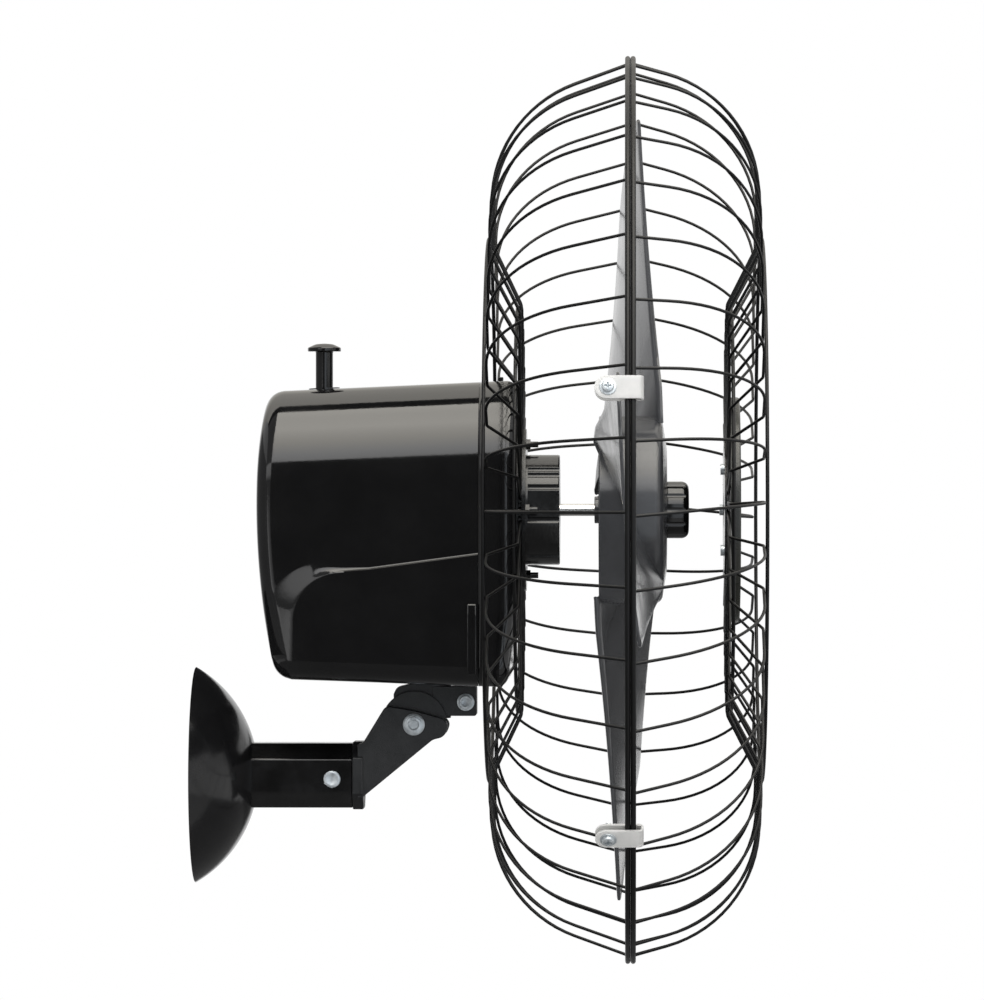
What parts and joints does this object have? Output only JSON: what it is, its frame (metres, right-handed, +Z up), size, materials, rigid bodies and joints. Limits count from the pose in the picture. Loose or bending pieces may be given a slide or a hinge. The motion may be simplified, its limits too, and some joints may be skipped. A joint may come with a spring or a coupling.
{
  "type": "wall mounted fan",
  "caption": "Black oscillating wall fan: domed wall canopy, short arm with a tilting knuckle, swivelling motor head with a pull knob, grey blade inside a round wire guard.",
  "frame": {"origin": "centre of the wall plate's back face, on the wall's surface", "axes": "+X away from the wall along the fan's axis at rest, +Z up, the near side of the picture is -Y"},
  "size_m": [0.3784, 0.6034, 0.6034],
  "materials": {
    "satin_plastic": "satin black moulded plastic",
    "black_plastic": "gloss black moulded plastic",
    "black_enamel": "gloss black enamel on steel",
    "black_cast": "satin black paint on a casting",
    "zinc_steel": "bright zinc plate",
    "bright_steel": "ground steel",
    "lamination_steel": "stacked electrical steel",
    "copper_winding": "enamelled copper",
    "cast_aluminium": "die-cast",
    "bronze": "sintered bronze",
    "white_nylon": "natural white nylon",
    "badge_olive": "dark bare badge, semi-gloss",
    "grey_plastic": "mid-grey semi-gloss moulding"
  },
  "bodies": {
    "wall_bracket": {"wall_plate": "zinc_steel", "canopy": "satin_plastic", "arm_tube": "black_enamel", "arm_clevis": "black_cast", "arm_bolt": "zinc_steel", "arm_nut": "zinc_steel", "tilt_bolt": "zinc_steel", "tilt_nut": "zinc_steel"},
    "neck": {"neck_knuckle": "black_cast", "swivel_pin": "bright_steel", "clamp_screw": "zinc_steel", "clamp_nut": "zinc_steel", "link_anchor_pin": "bright_steel"},
    "head": {"rear_shell": "black_plastic", "front_shell": "black_plastic", "knob_grommet": "black_plastic", "motor_stator": "lamination_steel", "stator_windings": "copper_winding", "motor_front_bell": "black_cast", "motor_rear_bell": "cast_aluminium", "front_bush": "bronze", "rear_bush": "bronze", "motor_through_bolts": "zinc_steel", "run_capacitor": "white_nylon", "gearbox_case": "cast_aluminium", "gearbox_cover": "cast_aluminium", "rear_guard_wires": "black_enamel", "rear_guard_rings": "black_enamel", "front_guard_wires": "black_enamel", "front_guard_rings": "black_enamel", "guard_back_plate": "black_enamel", "guard_front_plate": "black_enamel", "guard_studs": "black_enamel", "guard_stud_nuts": "black_enamel", "guard_badge": "badge_olive", "badge_back_plate": "black_enamel", "badge_screws": "zinc_steel", "guard_clips": "white_nylon", "clip_screws": "zinc_steel", "clip_nuts": "zinc_steel"},
    "rotor": {"motor_shaft": "bright_steel", "rotor_core": "lamination_steel", "fan_blade": "grey_plastic", "hub_set_screw": "zinc_steel", "spinner_nut": "black_plastic"},
    "knob": {"oscillation_knob": "black_plastic", "clutch_rod": "bright_steel"},
    "worm_wheel": {"worm_wheel": "white_nylon"},
    "pinion": {"pinion_spindle": "bright_steel"},
    "crank": {"crank_gear": "white_nylon"},
    "link": {"link_rod": "zinc_steel"}
  },
  "joints": [
    {"name": "tilt", "type": "hinge", "parent": "wall_bracket", "child": "neck", "pos_m": [0.1463, 0, 0.0343], "axis": [0, 1, 0], "range_deg": [-10, 35]},
    {"name": "oscillate", "type": "hinge", "parent": "neck", "child": "head", "pos_m": [0.1583, 0, 0.1], "axis": [0, 0, 1], "range_deg": [-40, 40]},
    {"name": "fan_spin", "type": "hinge", "parent": "head", "child": "rotor", "pos_m": [0.29, 0, 0.1767], "axis": [1, 0, 0], "continuous": true},
    {"name": "knob_slide", "type": "slide", "parent": "head", "child": "knob", "axis": [0, 0, 1], "range_m": [-0.009, 0]},
    {"name": "worm_wheel_spin", "type": "hinge", "parent": "head", "child": "worm_wheel", "pos_m": [0.085, 0.016, 0.1767], "axis": [0, 0, 1], "continuous": true},
    {"name": "pinion_turn", "type": "hinge", "parent": "head", "child": "pinion", "pos_m": [0.085, 0.016, 0.08], "axis": [0, 0, 1], "range_deg": [-376, 376]},
    {"name": "crank_turn", "type": "hinge", "parent": "head", "child": "crank", "pos_m": [0.1102, 0.007, 0.081], "axis": [0, 0, 1], "range_deg": [-91, 91]},
    {"name": "link_turn", "type": "hinge", "parent": "neck", "child": "link", "pos_m": [0.1583, 0.016, 0.074], "axis": [0, 0, 1], "range_deg": [-41, 41]}
  ],
  "couplings": [
    {"joint": "worm_wheel_spin", "follows": "fan_spin", "ratio": -0.041667},
    {"joint": "crank_turn", "follows": "oscillate", "ratio": -2.25},
    {"joint": "pinion_turn", "follows": "oscillate", "ratio": 9.375},
    {"joint": "link_turn", "follows": "oscillate", "ratio": 1}
  ]
}
